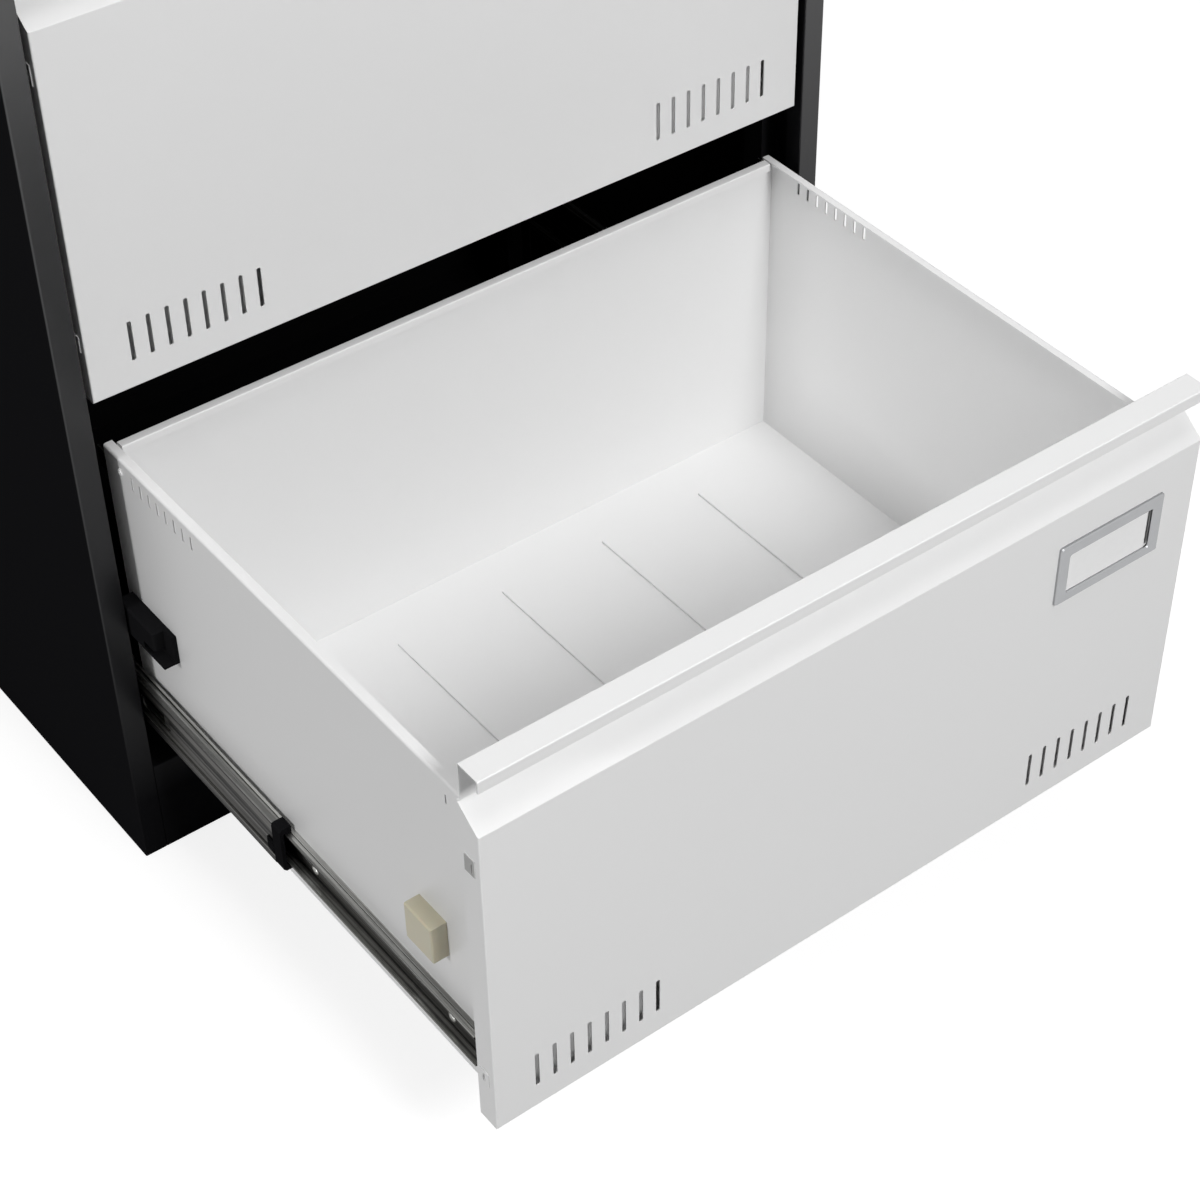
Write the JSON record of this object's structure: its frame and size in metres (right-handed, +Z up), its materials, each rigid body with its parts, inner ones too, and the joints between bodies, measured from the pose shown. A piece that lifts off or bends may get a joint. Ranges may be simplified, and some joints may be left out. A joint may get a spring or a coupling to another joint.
{
  "type": "filing cabinet",
  "caption": "Steel lateral filing cabinet with pull-out drawers on telescopic slides, finger-grip fronts and a bar lock.",
  "frame": {"origin": "Centre of the carcass footprint, on the floor.", "axes": "X to the right seen from the front, Y to the back, Z up."},
  "size_m": [0.6, 0.8514, 0.73],
  "materials": {
    "white_paint": "satin powder coat",
    "black_paint": "satin powder coat",
    "zinc_steel": "zinc plated",
    "cage_steel": "greased steel",
    "zinc_fastener": "zinc plated",
    "black_plastic": "moulded",
    "ivory_nylon": "moulded nylon",
    "satin_metal": "satin",
    "lock_chrome": "polished",
    "card_board": "blank card"
  },
  "bodies": {
    "carcass": {"back_panel": "black_paint", "bottom_pan": "black_paint", "carcass_fasteners": "zinc_fastener", "front_top_rail": "black_paint", "front_upright_left": "black_paint", "front_upright_right": "black_paint", "kick_plate": "black_paint", "lock_bar_guides": "zinc_steel", "lock_housing": "lock_chrome", "lock_nut": "zinc_fastener", "lower_outer_slide_left": "zinc_steel", "lower_outer_slide_right": "zinc_steel", "rear_upright_left": "black_paint", "rear_upright_right": "black_paint", "side_panel_left": "black_paint", "side_panel_right": "black_paint", "top_panel": "black_paint", "upper_outer_slide_left": "zinc_steel", "upper_outer_slide_right": "zinc_steel"},
    "lower_drawer": {"lower_back": "white_paint", "lower_card": "card_board", "lower_card_holder": "satin_metal", "lower_catch_block": "ivory_nylon", "lower_corner_brackets": "zinc_steel", "lower_fasteners": "zinc_fastener", "lower_floor": "white_paint", "lower_front": "white_paint", "lower_guide_block": "black_plastic", "lower_inner_front": "white_paint", "lower_inner_slide_left": "zinc_steel", "lower_inner_slide_right": "zinc_steel", "lower_side_left": "white_paint", "lower_side_right": "white_paint"},
    "upper_drawer": {"upper_back": "white_paint", "upper_card": "card_board", "upper_card_holder": "satin_metal", "upper_catch_block": "ivory_nylon", "upper_corner_brackets": "zinc_steel", "upper_fasteners": "zinc_fastener", "upper_floor": "white_paint", "upper_front": "white_paint", "upper_guide_block": "black_plastic", "upper_inner_front": "white_paint", "upper_inner_slide_left": "zinc_steel", "upper_inner_slide_right": "zinc_steel", "upper_side_left": "white_paint", "upper_side_right": "white_paint"},
    "lower_slides": {"lower_ball_cages": "cage_steel", "lower_end_stops": "black_plastic", "lower_middle_slide_left": "zinc_steel", "lower_middle_slide_right": "zinc_steel"},
    "upper_slides": {"upper_ball_cages": "cage_steel", "upper_end_stops": "black_plastic", "upper_middle_slide_left": "zinc_steel", "upper_middle_slide_right": "zinc_steel"},
    "lock_plug": {"lock_cam": "zinc_steel", "lock_plug": "lock_chrome"},
    "lock_bar": {"lock_bar": "zinc_steel"}
  },
  "joints": [
    {"name": "lower_drawer", "type": "slide", "parent": "carcass", "child": "lower_drawer", "axis": [0, -1, 0], "range_m": [-0.4, 0]},
    {"name": "lower_slides", "type": "slide", "parent": "carcass", "child": "lower_slides", "axis": [0, -1, 0], "range_m": [-0.2, 0]},
    {"name": "upper_drawer", "type": "slide", "parent": "carcass", "child": "upper_drawer", "axis": [0, -1, 0], "range_m": [0, 0.4]},
    {"name": "upper_slides", "type": "slide", "parent": "carcass", "child": "upper_slides", "axis": [0, -1, 0], "range_m": [0, 0.2]},
    {"name": "lock_plug", "type": "hinge", "parent": "carcass", "child": "lock_plug", "pos_m": [-0.262, -0.225, 0.708], "axis": [0, 1, 0], "range_deg": [0, 90]},
    {"name": "lock_bar", "type": "slide", "parent": "carcass", "child": "lock_bar", "axis": [0, 0, 1], "range_m": [-0.012, 0]}
  ],
  "couplings": [
    {"joint": "lower_slides", "follows": "lower_drawer", "ratio": 0.5},
    {"joint": "upper_slides", "follows": "upper_drawer", "ratio": 0.5},
    {"joint": "lock_plug", "follows": "lock_bar", "rad_per_m": -130.88}
  ]
}
